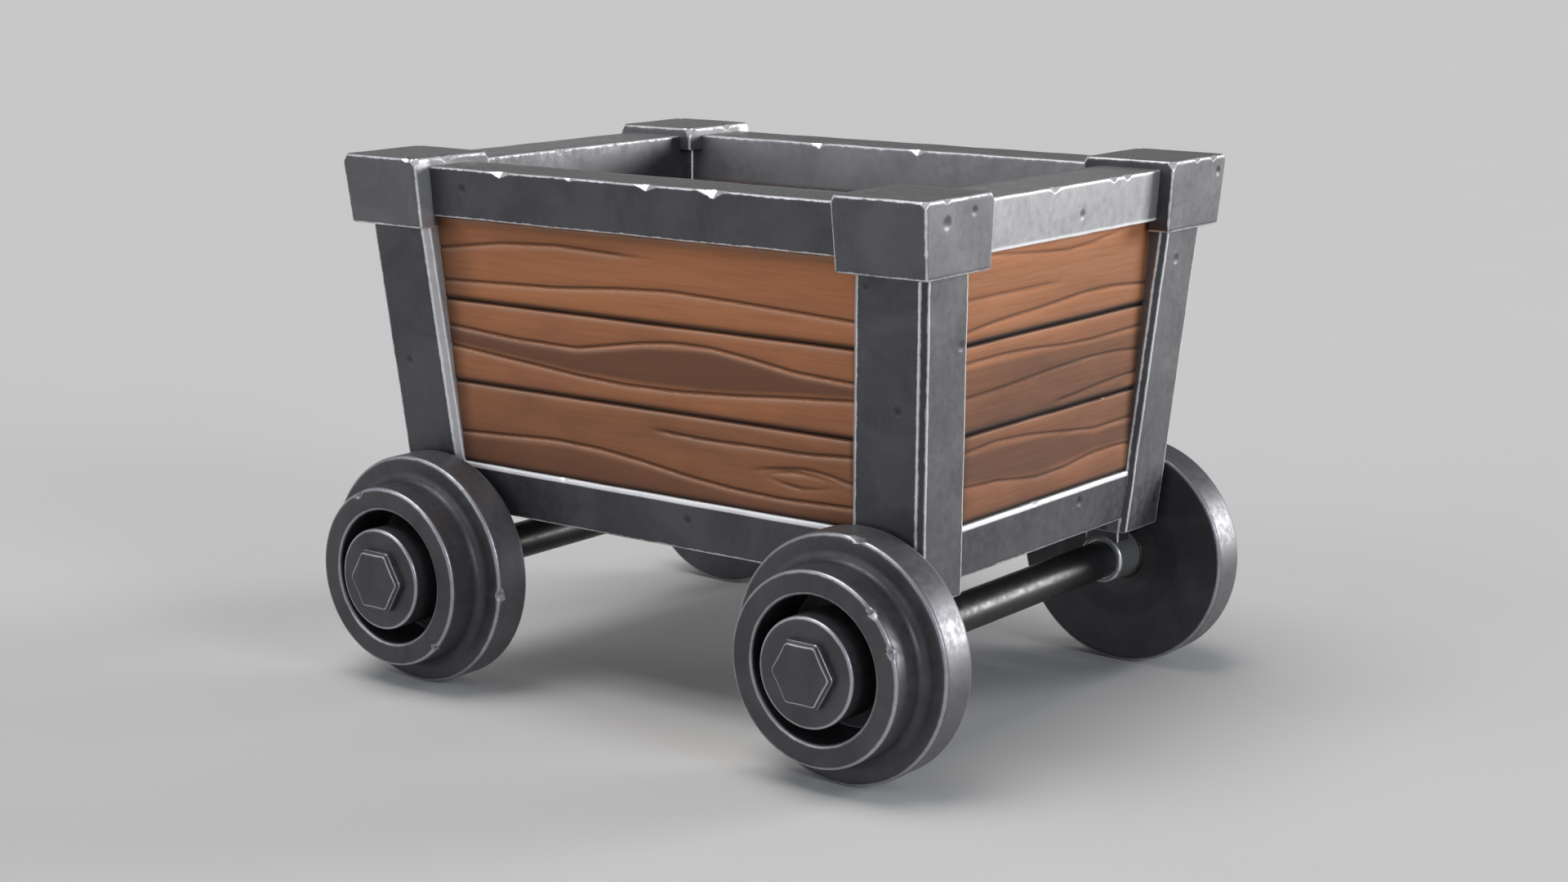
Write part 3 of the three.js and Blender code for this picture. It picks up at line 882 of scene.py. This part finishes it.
def carve(u, v, height, grain):
    """Depth of the carved grain at each point, and its mark: -1 where it is dark to 1 where it is light."""
    depth, mark = np.zeros_like(u), np.zeros_like(u)
    for line in grain["lines"]:
        off = (v - smooth_curve(line.points, u)) * height
        strength = fade(line.points, u) * line.depth
        depth += strength * GROOVE_DEPTH * np.clip(1 - np.abs(off) / GROOVE_WIDTH, 0, 1)
        dark, centre, width = LINE_CORE
        core = dark * np.exp(-(((off - centre) / width) ** 2))
        # painted shade above each line, and a painted highlight below it
        shade = LINE_SHADE[0] * np.exp(-off / LINE_SHADE[1]) * (off > 0)
        bright, start, fall = LINE_HIGHLIGHT
        light = bright * np.exp((off + start) / fall) * (off < -start)
        mark += strength * (light - np.minimum(core + shade, LINE_DARKEST))
    above, below = v * height, (1 - v) * height - SEAM_WIDTH
    # painted shade in the seams at both edges of a plank, and a painted highlight below its upper seam
    mark -= FOOT_CORE[0] * np.exp(-((above / FOOT_CORE[1]) ** 2))
    mark -= FOOT_SHADE[0] * np.exp(-above / FOOT_SHADE[1])
    mark += np.where(below > 0, HEAD_HIGHLIGHT[0] * np.exp(-below / HEAD_HIGHLIGHT[1]), SEAM_MARK)
    return depth, np.clip(mark, -1, 1)


def painted_shadow(u, v, length, height, grain):
    """How much painted shadow darkens a plank towards its ends, and under the rail above it."""
    left, right, under = grain["painted_shadow"]
    dark = [np.clip(1 - u * length / left, 0, 1), np.clip(1 - (1 - u) * length / right, 0, 1)]
    if under:
        dark.append(SHADOW_UNDER_RAIL * np.clip(1 - (1 - v) * height / under, 0, 1))
    return np.maximum.reduce(dark)


def band(u, v, dark):
    """1 inside a plank's dark band, easing to 0 outside it."""
    dark = np.array(dark)
    low = smooth_curve(dark[:, [0, 1]], u)
    high = smooth_curve(dark[:, [0, 2]], u)
    return np.clip((v - low) / BAND_SOFTNESS, 0, 1) * np.clip((high - v) / BAND_SOFTNESS, 0, 1)


def plank(node, material, grain, row_tone, shade, flipped, seed):
    """A wall plank with its grain carved into the outer face."""
    slab = Slab(node)
    side = slab.sides[slab.across]
    low, high = bar_ends(slab)
    stations = np.linspace(low, high, round((high - low) / PLANK_ALONG))
    rounding, spacing = [PLANK_EDGE] * 2 + [SMALL_EDGE] * 2, [PLANK_STEP] + [PLANK_BACK] * 3
    section, reach = outline(bar_corners(slab), rounding, spacing)
    rings = ripple(bar_rings(slab, stations, section, side), *PLANK_RIPPLE, seed)
    u = np.clip((rings[..., slab.along] - low - 2 * BURIED) / (high - low - 4 * BURIED), 0, 1)
    if flipped:
        u = 1 - u
    height = slab.top - slab.bottom
    v = (rings[..., 2] - slab.bottom) / height
    foot, head = [slab.outer(slab.across, z) for z in (slab.bottom, slab.top)]
    face = foot + (head - foot) * v
    out = rings[..., slab.across] * side
    on_face = np.clip((out - face + FACE_DEEP) / FACE_FADE, 0, 1)
    depth, mark = carve(u, v, height, grain)
    rings[..., slab.across] -= side * depth * on_face
    tone = row_tone + grain["band"] * band(u, v, grain["dark"])
    grainy = np.stack([rings[..., slab.along], rings[..., 2], face - out], -1) * MM
    values = {
        "edge": np.tile(reach, (len(stations), 1)) * MM,
        "mark": (mark - shade) * on_face,
        "tone": tone * on_face + BACK_TONE * (1 - on_face),
        "painted_shadow": painted_shadow(u, v, high - low, height, grain) * on_face,
        "grain": grainy + seed * np.array([0.37, 0.23, 0.11]),
    }
    show(node, material, rings, values)


def board(node, material, seed):
    """A floor board: a plain timber with eased edges."""
    slab = Slab(node)
    rings, reach = plain_rings(slab, BOARD_EDGE, BOARD_ALONG)
    rings = ripple(rings, *BOARD_RIPPLE, seed)
    flat = np.zeros(rings.shape[:2])
    grainy = np.stack([rings[..., slab.along], rings[..., slab.across], rings[..., 2]], -1) * MM
    values = {
        "edge": reach * MM,
        "mark": flat,
        "tone": flat + BOARD_TONE,
        "painted_shadow": flat,
        "grain": grainy + seed * np.array([0.31, 0.17, 0.29]),
    }
    show(node, material, rings, values)


# ---------- turned pieces


def spun(middle, side, start, profile, segments):
    """Rings round the wheel axis: profile points are (radius, distance outwards from start)."""
    turn = np.linspace(0, 2 * math.pi, segments, endpoint=False)
    rings = np.zeros((segments, len(profile), 3))
    rings[..., 0] = middle.x + profile[:, 0] * np.cos(turn)[:, None]
    rings[..., 1] = side * (start + profile[:, 1])
    rings[..., 2] = middle.z + profile[:, 0] * np.sin(turn)[:, None]
    return rings


def turned(middle, side, start, corners, rounding):
    """Rings of a rounded profile, and the distance of each point from an edge."""
    profile, reach = outline(corners, rounding, [TURNED_STEP] * len(corners))
    return spun(middle, side, start, profile, ROUND_SEGMENTS), np.tile(reach, (ROUND_SEGMENTS, 1))


def stacked(middle, rows):
    """Rings across the wheel axis: a row is a place along it and the radii round it."""
    turn = np.linspace(0, 2 * math.pi, len(rows[0][1]), endpoint=False)
    rings = np.zeros((len(rows), len(turn), 3))
    for ring, (place, radii) in zip(rings, rows):
        ring[:, 0] = middle.x + radii * np.cos(turn)
        ring[:, 1] = place
        ring[:, 2] = middle.z + radii * np.sin(turn)
    return rings


def wheel(node, material):
    """A flanged wheel, with a deep ring-shaped recess between its rim and its hub."""
    body = Round(node)
    face = body.end - body.start
    radius = body.middle.z
    corners = [
        (radius, 0), (radius, FLANGE_THICK), (TREAD_RADIUS, FLANGE_THICK), (TREAD_RADIUS, face),
        (RECESS_RADIUS, face), (RECESS_RADIUS, WEB_THICK), (HUB_RADIUS, WEB_THICK),
        (HUB_RADIUS, HUB_LENGTH), (BORE_RADIUS, HUB_LENGTH), (BORE_RADIUS, 0),
    ]
    profile, reach = outline(corners, WHEEL_ROUNDING, [TURNED_STEP] * len(corners))
    across, out = profile.T
    in_fillet = np.hypot(across - TREAD_RADIUS, out - FLANGE_THICK) < TREAD_FILLET + 1
    reach = np.where(in_fillet | (across < RECESS_RADIUS - 1), FAR, reach)
    reach = np.tile(reach, (WHEEL_SEGMENTS, 1))
    rings = spun(body.middle, body.side, body.start, profile, WHEEL_SEGMENTS)
    scars = knock(rings, reach, wheel_marks(node, body), WHEEL_SCAR)
    # painted shade in the wheel's recess
    sunk = (across > HUB_RADIUS - 1) & (across < RECESS_RADIUS + 1) & (out < face - 8)
    on_rim = np.abs(across - radius) < 0.5
    on_tread = (np.abs(across - TREAD_RADIUS) < 0.5) & (out > FLANGE_THICK + TREAD_FILLET)
    wear_and_light = np.tile(on_rim * RIM_RUB + on_tread * TREAD_RUB, (WHEEL_SEGMENTS, 1))
    values = {"edge": reach * MM, "pit_and_shade": np.maximum(scars, RECESS_SHADE * sunk), "wear_and_light": wear_and_light}
    show(node, material, rings, values, closed=True)


def hub_cap(node, material):
    """The drum over a wheel's hub, under the bolt."""
    body = Round(node)
    radius, face = body.radius, body.end - body.start
    inside, ceiling = radius - HUB_CAP_WALL / 2, face - HUB_CAP_WALL
    corners = [
        (radius, 0), (radius, face), (CAP_DISC_BORE, face),
        (CAP_DISC_BORE, ceiling), (inside, ceiling), (inside, 0),
    ]
    rounding = [SMALL_EDGE, HUB_CAP_EDGE, 1, 1, 1, SMALL_EDGE]
    rings, reach = turned(body.middle, body.side, body.start, corners, rounding)
    show(node, material, rings, {"edge": reach * MM}, closed=True)


def hexagon(turn, corner):
    """Radius of a hexagon with corners on the x axis, its corners rounded a little."""
    flat = corner * math.cos(math.pi / 6)
    sixth = (turn % (math.pi / 3)) - math.pi / 6
    return np.minimum(flat / np.cos(sixth), corner * BOLT_ROUNDING)


def bolt(node, material):
    """A hub bolt: a wide hexagonal head with a chamfered face, on a shank."""
    body = Round(node)
    tip, top = body.start, body.end
    seat = Round(node.replace("hub_bolt", "hub_cap")).end
    head = hexagon(np.linspace(0, 2 * math.pi, BOLT_SEGMENTS, endpoint=False), body.corner)
    shank = np.full(BOLT_SEGMENTS, BOLT_SHANK)
    slope, narrow = top - BOLT_CHAMFER, head - BOLT_CHAMFER
    rows = [
        (tip, shank - 2, 20), (tip + 2, shank, 20), (seat - 1, shank, 20),
        (seat - 1, head - 3, 5), (seat - 0.5, head, 2.6), (seat + 1, head, 5),
        (slope - 1.5, head, 5), (slope, head - 0.3, 1.7), (slope + 1.5, head - BOLT_CHAMFER / 3, 5),
        (top - 1.8, head - BOLT_CHAMFER * 0.8, 5), (top - 0.6, narrow - 0.4, 1.5),
        (top, narrow - 1.5, 1.7), (top, narrow - 4, 8), (top, head - 0.5 * body.corner, 15),
    ]
    rings = stacked(body.middle, [(body.side * place, radii) for place, radii, _ in rows])
    reach = np.repeat(np.array([[far] for _, _, far in rows], float), BOLT_SEGMENTS, 1)
    show(node, material, rings, {"edge": reach * MM})


def axle(node, material):
    """A round axle, from hub to hub."""
    body = Round(node)
    radius, end = body.radius, body.end
    half = [(0, radius), (200, radius), (end - 3, radius), (end - 0.8, radius - 0.8)]
    half += [(end, radius - 3), (end, radius - 12)]
    rows = [(-place, r) for place, r in reversed(half[1:])] + half
    rings = stacked(body.middle, [(place, np.full(ROUND_SEGMENTS, r)) for place, r in rows])
    show(node, material, rings, {"edge": np.full(rings.shape[:2], FAR) * MM})


def collar(node, material):
    """An axle bracket: a collar round the axle, with a neck up to the foot of the post."""
    low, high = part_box(node)
    side = Round(node).side
    shaft = Round(node.replace("axle_bracket", "axle").rsplit("_", 1)[0])
    x, z = shaft.middle.x, shaft.middle.z
    hole, radius = shaft.radius + COLLAR_GAP, z - low.z / MM
    inner, outer = COLLAR_SPAN
    corners = [(radius, 0), (radius, outer - inner), (hole, outer - inner), (hole, 0)]
    rings, reach = turned(shaft.middle, side, inner, corners, [7.0, 3.0, 0.8, 0.8])
    values = {"edge": reach * MM, "wear_and_light": np.full_like(reach, COLLAR_RUB)}
    show(node, material, rings, values, closed=True)
    near, far = side * NECK_SPAN[0], side * NECK_SPAN[1]
    front, back = x + NECK_HALF, x - NECK_HALF
    corners = [(front, far), (front, near), (back, near), (back, far)]
    section, reach = outline(corners, [2.5] * 4, [STEEL_STEP] * 4)
    heights = (z + hole + 1.5, z + radius, high.z / MM - COLLAR_GAP)
    rings = np.array([ring_at(section, height) for height in heights])
    neck = loft("vis_neck_" + node, rings, {"edge": np.tile(reach, (len(heights), 1)) * MM})
    neck.data.materials.append(material)
    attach(neck, frame["nodes"][node]["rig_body"])


# ---------- materials


class Shader:
    """The nodes of a material or the world, with short ways to add more from numbers, colours and sockets."""

    def __init__(self, owner, surface="BSDF_PRINCIPLED"):
        owner.use_nodes = True
        self.owner, self.tree = owner, owner.node_tree
        self.surface = next(n for n in self.tree.nodes if n.type == surface)

    def put(self, socket, value):
        if isinstance(value, bpy.types.NodeSocket):
            self.tree.links.new(value, socket)
        elif value is not None:
            socket.default_value = value

    def add(self, kind, inputs, out=0, **settings):
        node = self.tree.nodes.new(kind)
        for key, value in settings.items():
            setattr(node, key, value)
        for key, value in inputs.items():
            self.put(node.inputs[key], value)
        return node.outputs[out]

    def value(self, name):
        return self.add("ShaderNodeAttribute", {}, out=2, attribute_name=name)

    def vector(self, name):
        return self.add("ShaderNodeAttribute", {}, out=1, attribute_name=name)

    def place(self):
        return self.add("ShaderNodeTexCoord", {}, out=3)

    def scaled(self, vector, scale):
        return self.add("ShaderNodeMapping", {0: vector, 3: scale})

    def noise(self, vector, scale, detail=4.0, rough=0.55, warp=0.0):
        inputs = {"Vector": vector, "Scale": scale, "Detail": detail, "Roughness": rough, "Distortion": warp}
        return self.add("ShaderNodeTexNoise", inputs)

    def ease(self, value, low, high, out_low=0.0, out_high=1.0):
        inputs = {0: value, 1: low, 2: high, 3: out_low, 4: out_high}
        return self.add("ShaderNodeMapRange", inputs, interpolation_type="SMOOTHSTEP")

    def math(self, operation, a, b=None):
        return self.add("ShaderNodeMath", {0: a, 1: b}, operation=operation)

    def blend(self, amount, a, b, mode="MIX"):
        a = (*a, 1.0) if isinstance(a, tuple) else a
        b = (*b, 1.0) if isinstance(b, tuple) else b
        inputs = {0: amount, 6: a, 7: b}
        return self.add("ShaderNodeMix", inputs, out=2, data_type="RGBA", blend_type=mode)

    def bump(self, height, strength, distance, normal=None):
        inputs = {"Height": height, "Strength": strength, "Distance": distance, "Normal": normal}
        return self.add("ShaderNodeBump", inputs)

    def finish(self, colour, roughness, metallic, normal, specular):
        inputs = {"Base Color": colour, "Roughness": roughness, "Metallic": metallic, "Normal": normal}
        inputs["Specular IOR Level"] = specular
        for key, value in inputs.items():
            self.put(self.surface.inputs[key], value)
        return self.owner


def metal(
    name, dark, light, bare, *, wear, roughness, metallic, dust=0.0, pits=0.2, specular=0.8, ragged=1.6
):
    """Metal: mottled faces, bare edges that also paint highlights; wear is how far from an edge that starts,
    in metres.
    """
    s = Shader(bpy.data.materials.new(name))
    place = s.place()
    cloud = s.noise(place, 8.0, 6.0, 0.62, 0.5)
    fine = s.noise(place, 75.0, 6.0, 0.6)
    grit = s.noise(place, 380.0, 3.0, 0.5)
    brushed = s.noise(s.scaled(place, (60.0, 60.0, 4.0)), 3.0, 4.0, 0.6, 0.3)
    colour = s.blend(s.ease(cloud, 0.32, 0.7), dark, light)
    colour = s.blend(s.ease(brushed, 0.5, 0.75, 0.0, 0.4), colour, light)
    colour = s.blend(s.ease(fine, 0.55, 0.8, 0.0, 0.25), colour, light)
    # faces made lighter by wear and by painted light, as each piece gives them
    face_wear_and_light = s.math("MULTIPLY", s.value("wear_and_light"), s.ease(cloud, 0.2, 0.7, 0.8, 1.0))
    colour = s.blend(face_wear_and_light, colour, bare)
    up = s.add("ShaderNodeSeparateXYZ", {0: s.add("ShaderNodeTexCoord", {}, out=1)}, out=2)
    settled = s.math("MULTIPLY", s.ease(up, 0.8, 0.97, 0.0, dust), s.ease(fine, 0.25, 0.6, 0.7, 1.0))
    colour = s.blend(settled, colour, DUST)
    uneven = s.math("MULTIPLY", s.math("SUBTRACT", fine, 0.5), wear * ragged)
    # edges worn bare, bright enough to stand as painted highlights
    wear_and_light = s.ease(s.math("ADD", s.value("edge"), uneven), wear, wear * 0.25)
    wear_and_light = s.math("MULTIPLY", wear_and_light, s.ease(cloud, 0.3, 0.6, 0.62, 0.85))
    colour = s.blend(wear_and_light, colour, bare)
    colour = s.blend(s.math("MULTIPLY", s.value("pit_and_shade"), 0.8), colour, PIT_AND_SHADE)
    rough = s.ease(fine, 0.3, 0.7, roughness - 0.06, roughness + 0.1)
    rough = s.math("SUBTRACT", rough, s.math("MULTIPLY", wear_and_light, 0.12))
    shine = s.math("MULTIPLY", s.ease(wear_and_light, 0.0, 1.0, metallic, 0.7), s.ease(face_wear_and_light, 0.3, 1.0, 1.0, 0.2))
    height = s.math("ADD", s.math("MULTIPLY", fine, 0.6), s.math("MULTIPLY", grit, 0.25))
    height = s.math("ADD", height, s.math("MULTIPLY", brushed, 0.3))
    return s.finish(colour, rough, shine, s.bump(height, pits, 0.001), specular)


def wood(name):
    """Stained planks: orange, brown in the bands between the carved lines, with fine streaks along."""
    s = Shader(bpy.data.materials.new(name))
    grain = s.vector("grain")
    streak = s.noise(s.scaled(grain, (2.5, 70.0, 40.0)), 3.0, 6.0, 0.62, 0.5)
    hair = s.noise(s.scaled(grain, (9.0, 420.0, 200.0)), 2.0, 3.0, 0.5)
    cloud = s.noise(s.scaled(grain, (5.0, 14.0, 14.0)), 1.0, 3.0, 0.55, 0.3)
    tone = s.math("ADD", s.value("tone"), s.math("MULTIPLY", s.math("SUBTRACT", cloud, 0.5), 0.7))
    colour = s.blend(s.ease(tone, -0.1, 1.0), WOOD_ORANGE, WOOD_BROWN)
    colour = s.blend(s.ease(streak, 0.42, 0.72, 0.0, 0.22), colour, WOOD_DARK)
    colour = s.blend(s.ease(hair, 0.45, 0.75, 0.0, 0.1), colour, WOOD_DARK)
    # mark paints highlights and shade by the carved lines and seams, and the end walls' shade
    mark = s.value("mark")
    colour = s.blend(s.ease(mark, 0.0, 1.0, 0.0, 0.7), colour, WOOD_PAINTED_HIGHLIGHT)
    colour = s.blend(s.math("MULTIPLY", mark, -0.88), colour, WOOD_LINE_AND_SHADE)
    # painted shadow towards the plank ends and under the rails
    dim = s.math("MULTIPLY", s.ease(s.value("painted_shadow"), 0.0, 1.0), s.ease(cloud, 0.3, 0.7, 0.5, 0.62))
    colour = s.blend(dim, colour, WOOD_LINE_AND_SHADE)
    rough = s.ease(streak, 0.3, 0.7, 0.6, 0.78)
    height = s.math("ADD", s.math("MULTIPLY", streak, 0.6), s.math("MULTIPLY", hair, 0.4))
    return s.finish(colour, rough, 0.0, s.bump(height, 0.35, 0.0012), 0.18)


def make_materials():
    return {
        "steel": metal(
            "steel", (0.046, 0.047, 0.056), (0.082, 0.082, 0.090), (0.92, 0.92, 0.94),
            wear=0.0032, roughness=0.40, metallic=0.55, dust=0.7,
        ),
        "iron": metal(
            "iron", (0.043, 0.043, 0.050), (0.073, 0.072, 0.078), (0.50, 0.50, 0.54),
            wear=0.0045, roughness=0.42, metallic=0.6, ragged=0.5,
        ),
        "oiled": metal(
            "oiled", (0.010, 0.010, 0.011), (0.016, 0.016, 0.016), (0.05, 0.05, 0.05),
            wear=0.001, roughness=0.36, metallic=0.0, pits=0.05, specular=0.35,
        ),
        "bronze": metal(
            "bronze", (0.026, 0.021, 0.016), (0.045, 0.035, 0.024), (0.16, 0.12, 0.08),
            wear=0.001, roughness=0.4, metallic=0.6,
        ),
        "wood": wood("wood"),
    }


# ---------- the cart


CORNERS = [(end, side) for end in ("front", "rear") for side in ("left", "right")]
WALLS = ("left", "right", "front", "rear")


def build_tub(steel, timber):
    seed = 1
    for end, side in CORNERS:
        steel_post(f"corner_post_{end}_{side}", steel, seed)
        steel_cap(f"corner_cap_{end}_{side}", steel, seed + 10)
        seed += 1
    for wall in WALLS:
        steel_bar(f"top_rail_{wall}", steel, seed)
        steel_bar(f"sill_{wall}", steel, seed + 10)
        grain, shade = (SIDE_GRAIN, 0.0) if wall in ("left", "right") else (END_GRAIN, END_SHADE)
        flipped = wall in ("left", "rear")
        for row, tone in enumerate(ROW_TONES, 1):
            name = f"plank_{wall}_{row}"
            plank(name, timber, grain[row - 1], tone, shade, flipped, seed + 20 * row)
        seed += 1
    for i in (1, 2, 3, 4):
        board(f"floor_board_{i}", timber, 90 + i)
    for i in (1, 2, 3):
        bearer(f"floor_bearer_{i}", steel, 95 + i)


def build_wheels(materials):
    for end in ("front", "rear"):
        axle(f"axle_{end}", materials["oiled"])
    for end, side in CORNERS:
        place = f"{end}_{side}"
        collar("axle_bracket_" + place, materials["steel"])
        wheel("wheel_" + place, materials["iron"])
        hub_cap("hub_cap_" + place, materials["iron"])
        bolt("hub_bolt_" + place, materials["iron"])
        bush = frame["nodes"]["wheel_bush_" + place]
        bush.data.materials.clear()
        bush.data.materials.append(materials["bronze"])


# ---------- the studio


def floor():
    """A large pale floor."""
    shade = Shader(bpy.data.materials.new("floor"))
    cloud = shade.noise(shade.place(), 1.5, 3.0)
    colour = shade.blend(shade.ease(cloud, 0.3, 0.7), *FLOOR_TONES)
    mesh = bpy.data.meshes.new("floor")
    corners = [(x * FLOOR_HALF, y * FLOOR_HALF, 0) for x, y in ((-1, -1), (1, -1), (1, 1), (-1, 1))]
    mesh.from_pydata(corners, [], [(0, 1, 2, 3)])
    mesh.materials.append(shade.finish(colour, 0.8, 0.0, None, 0.2))
    obj = bpy.data.objects.new("floor", mesh)
    bpy.context.scene.collection.objects.link(obj)


def aimed(name, data, at, aim):
    """A lamp or a camera at a point, turned to look at another."""
    obj = bpy.data.objects.new(name, data)
    bpy.context.scene.collection.objects.link(obj)
    obj.location = at
    obj.rotation_euler = (Vector(aim) - Vector(at)).to_track_quat("-Z", "Y").to_euler()
    return obj


def studio():
    floor()
    for name, (at, angle, strength, colour) in SUNS.items():
        sun = bpy.data.lights.new(name, "SUN")
        sun.energy, sun.color, sun.angle = strength, colour, math.radians(angle)
        aimed(name, sun, at, (0, 0, 0)).visible_camera = False
    sky = Shader(bpy.data.worlds.new("studio"), "BACKGROUND")
    up = sky.add("ShaderNodeSeparateXYZ", {0: sky.add("ShaderNodeTexCoord", {})}, out=2)
    colour = sky.blend(sky.ease(up, 0.0, SKY_CLIMB), SKY_LOW, SKY_HIGH)
    sky.put(sky.surface.inputs["Color"], colour)
    bpy.context.scene.world = sky.owner
    bpy.context.scene.view_settings.view_transform = "Standard"


def camera():
    data = bpy.data.cameras.new("camera")
    data.lens = CAMERA_LENS
    data.clip_end = 1000.0
    bpy.context.scene.camera = aimed("camera", data, CAMERA_AT, CAMERA_AIM)


made = make_materials()
build_tub(made["steel"], made["wood"])
build_wheels(made)
studio()
camera()
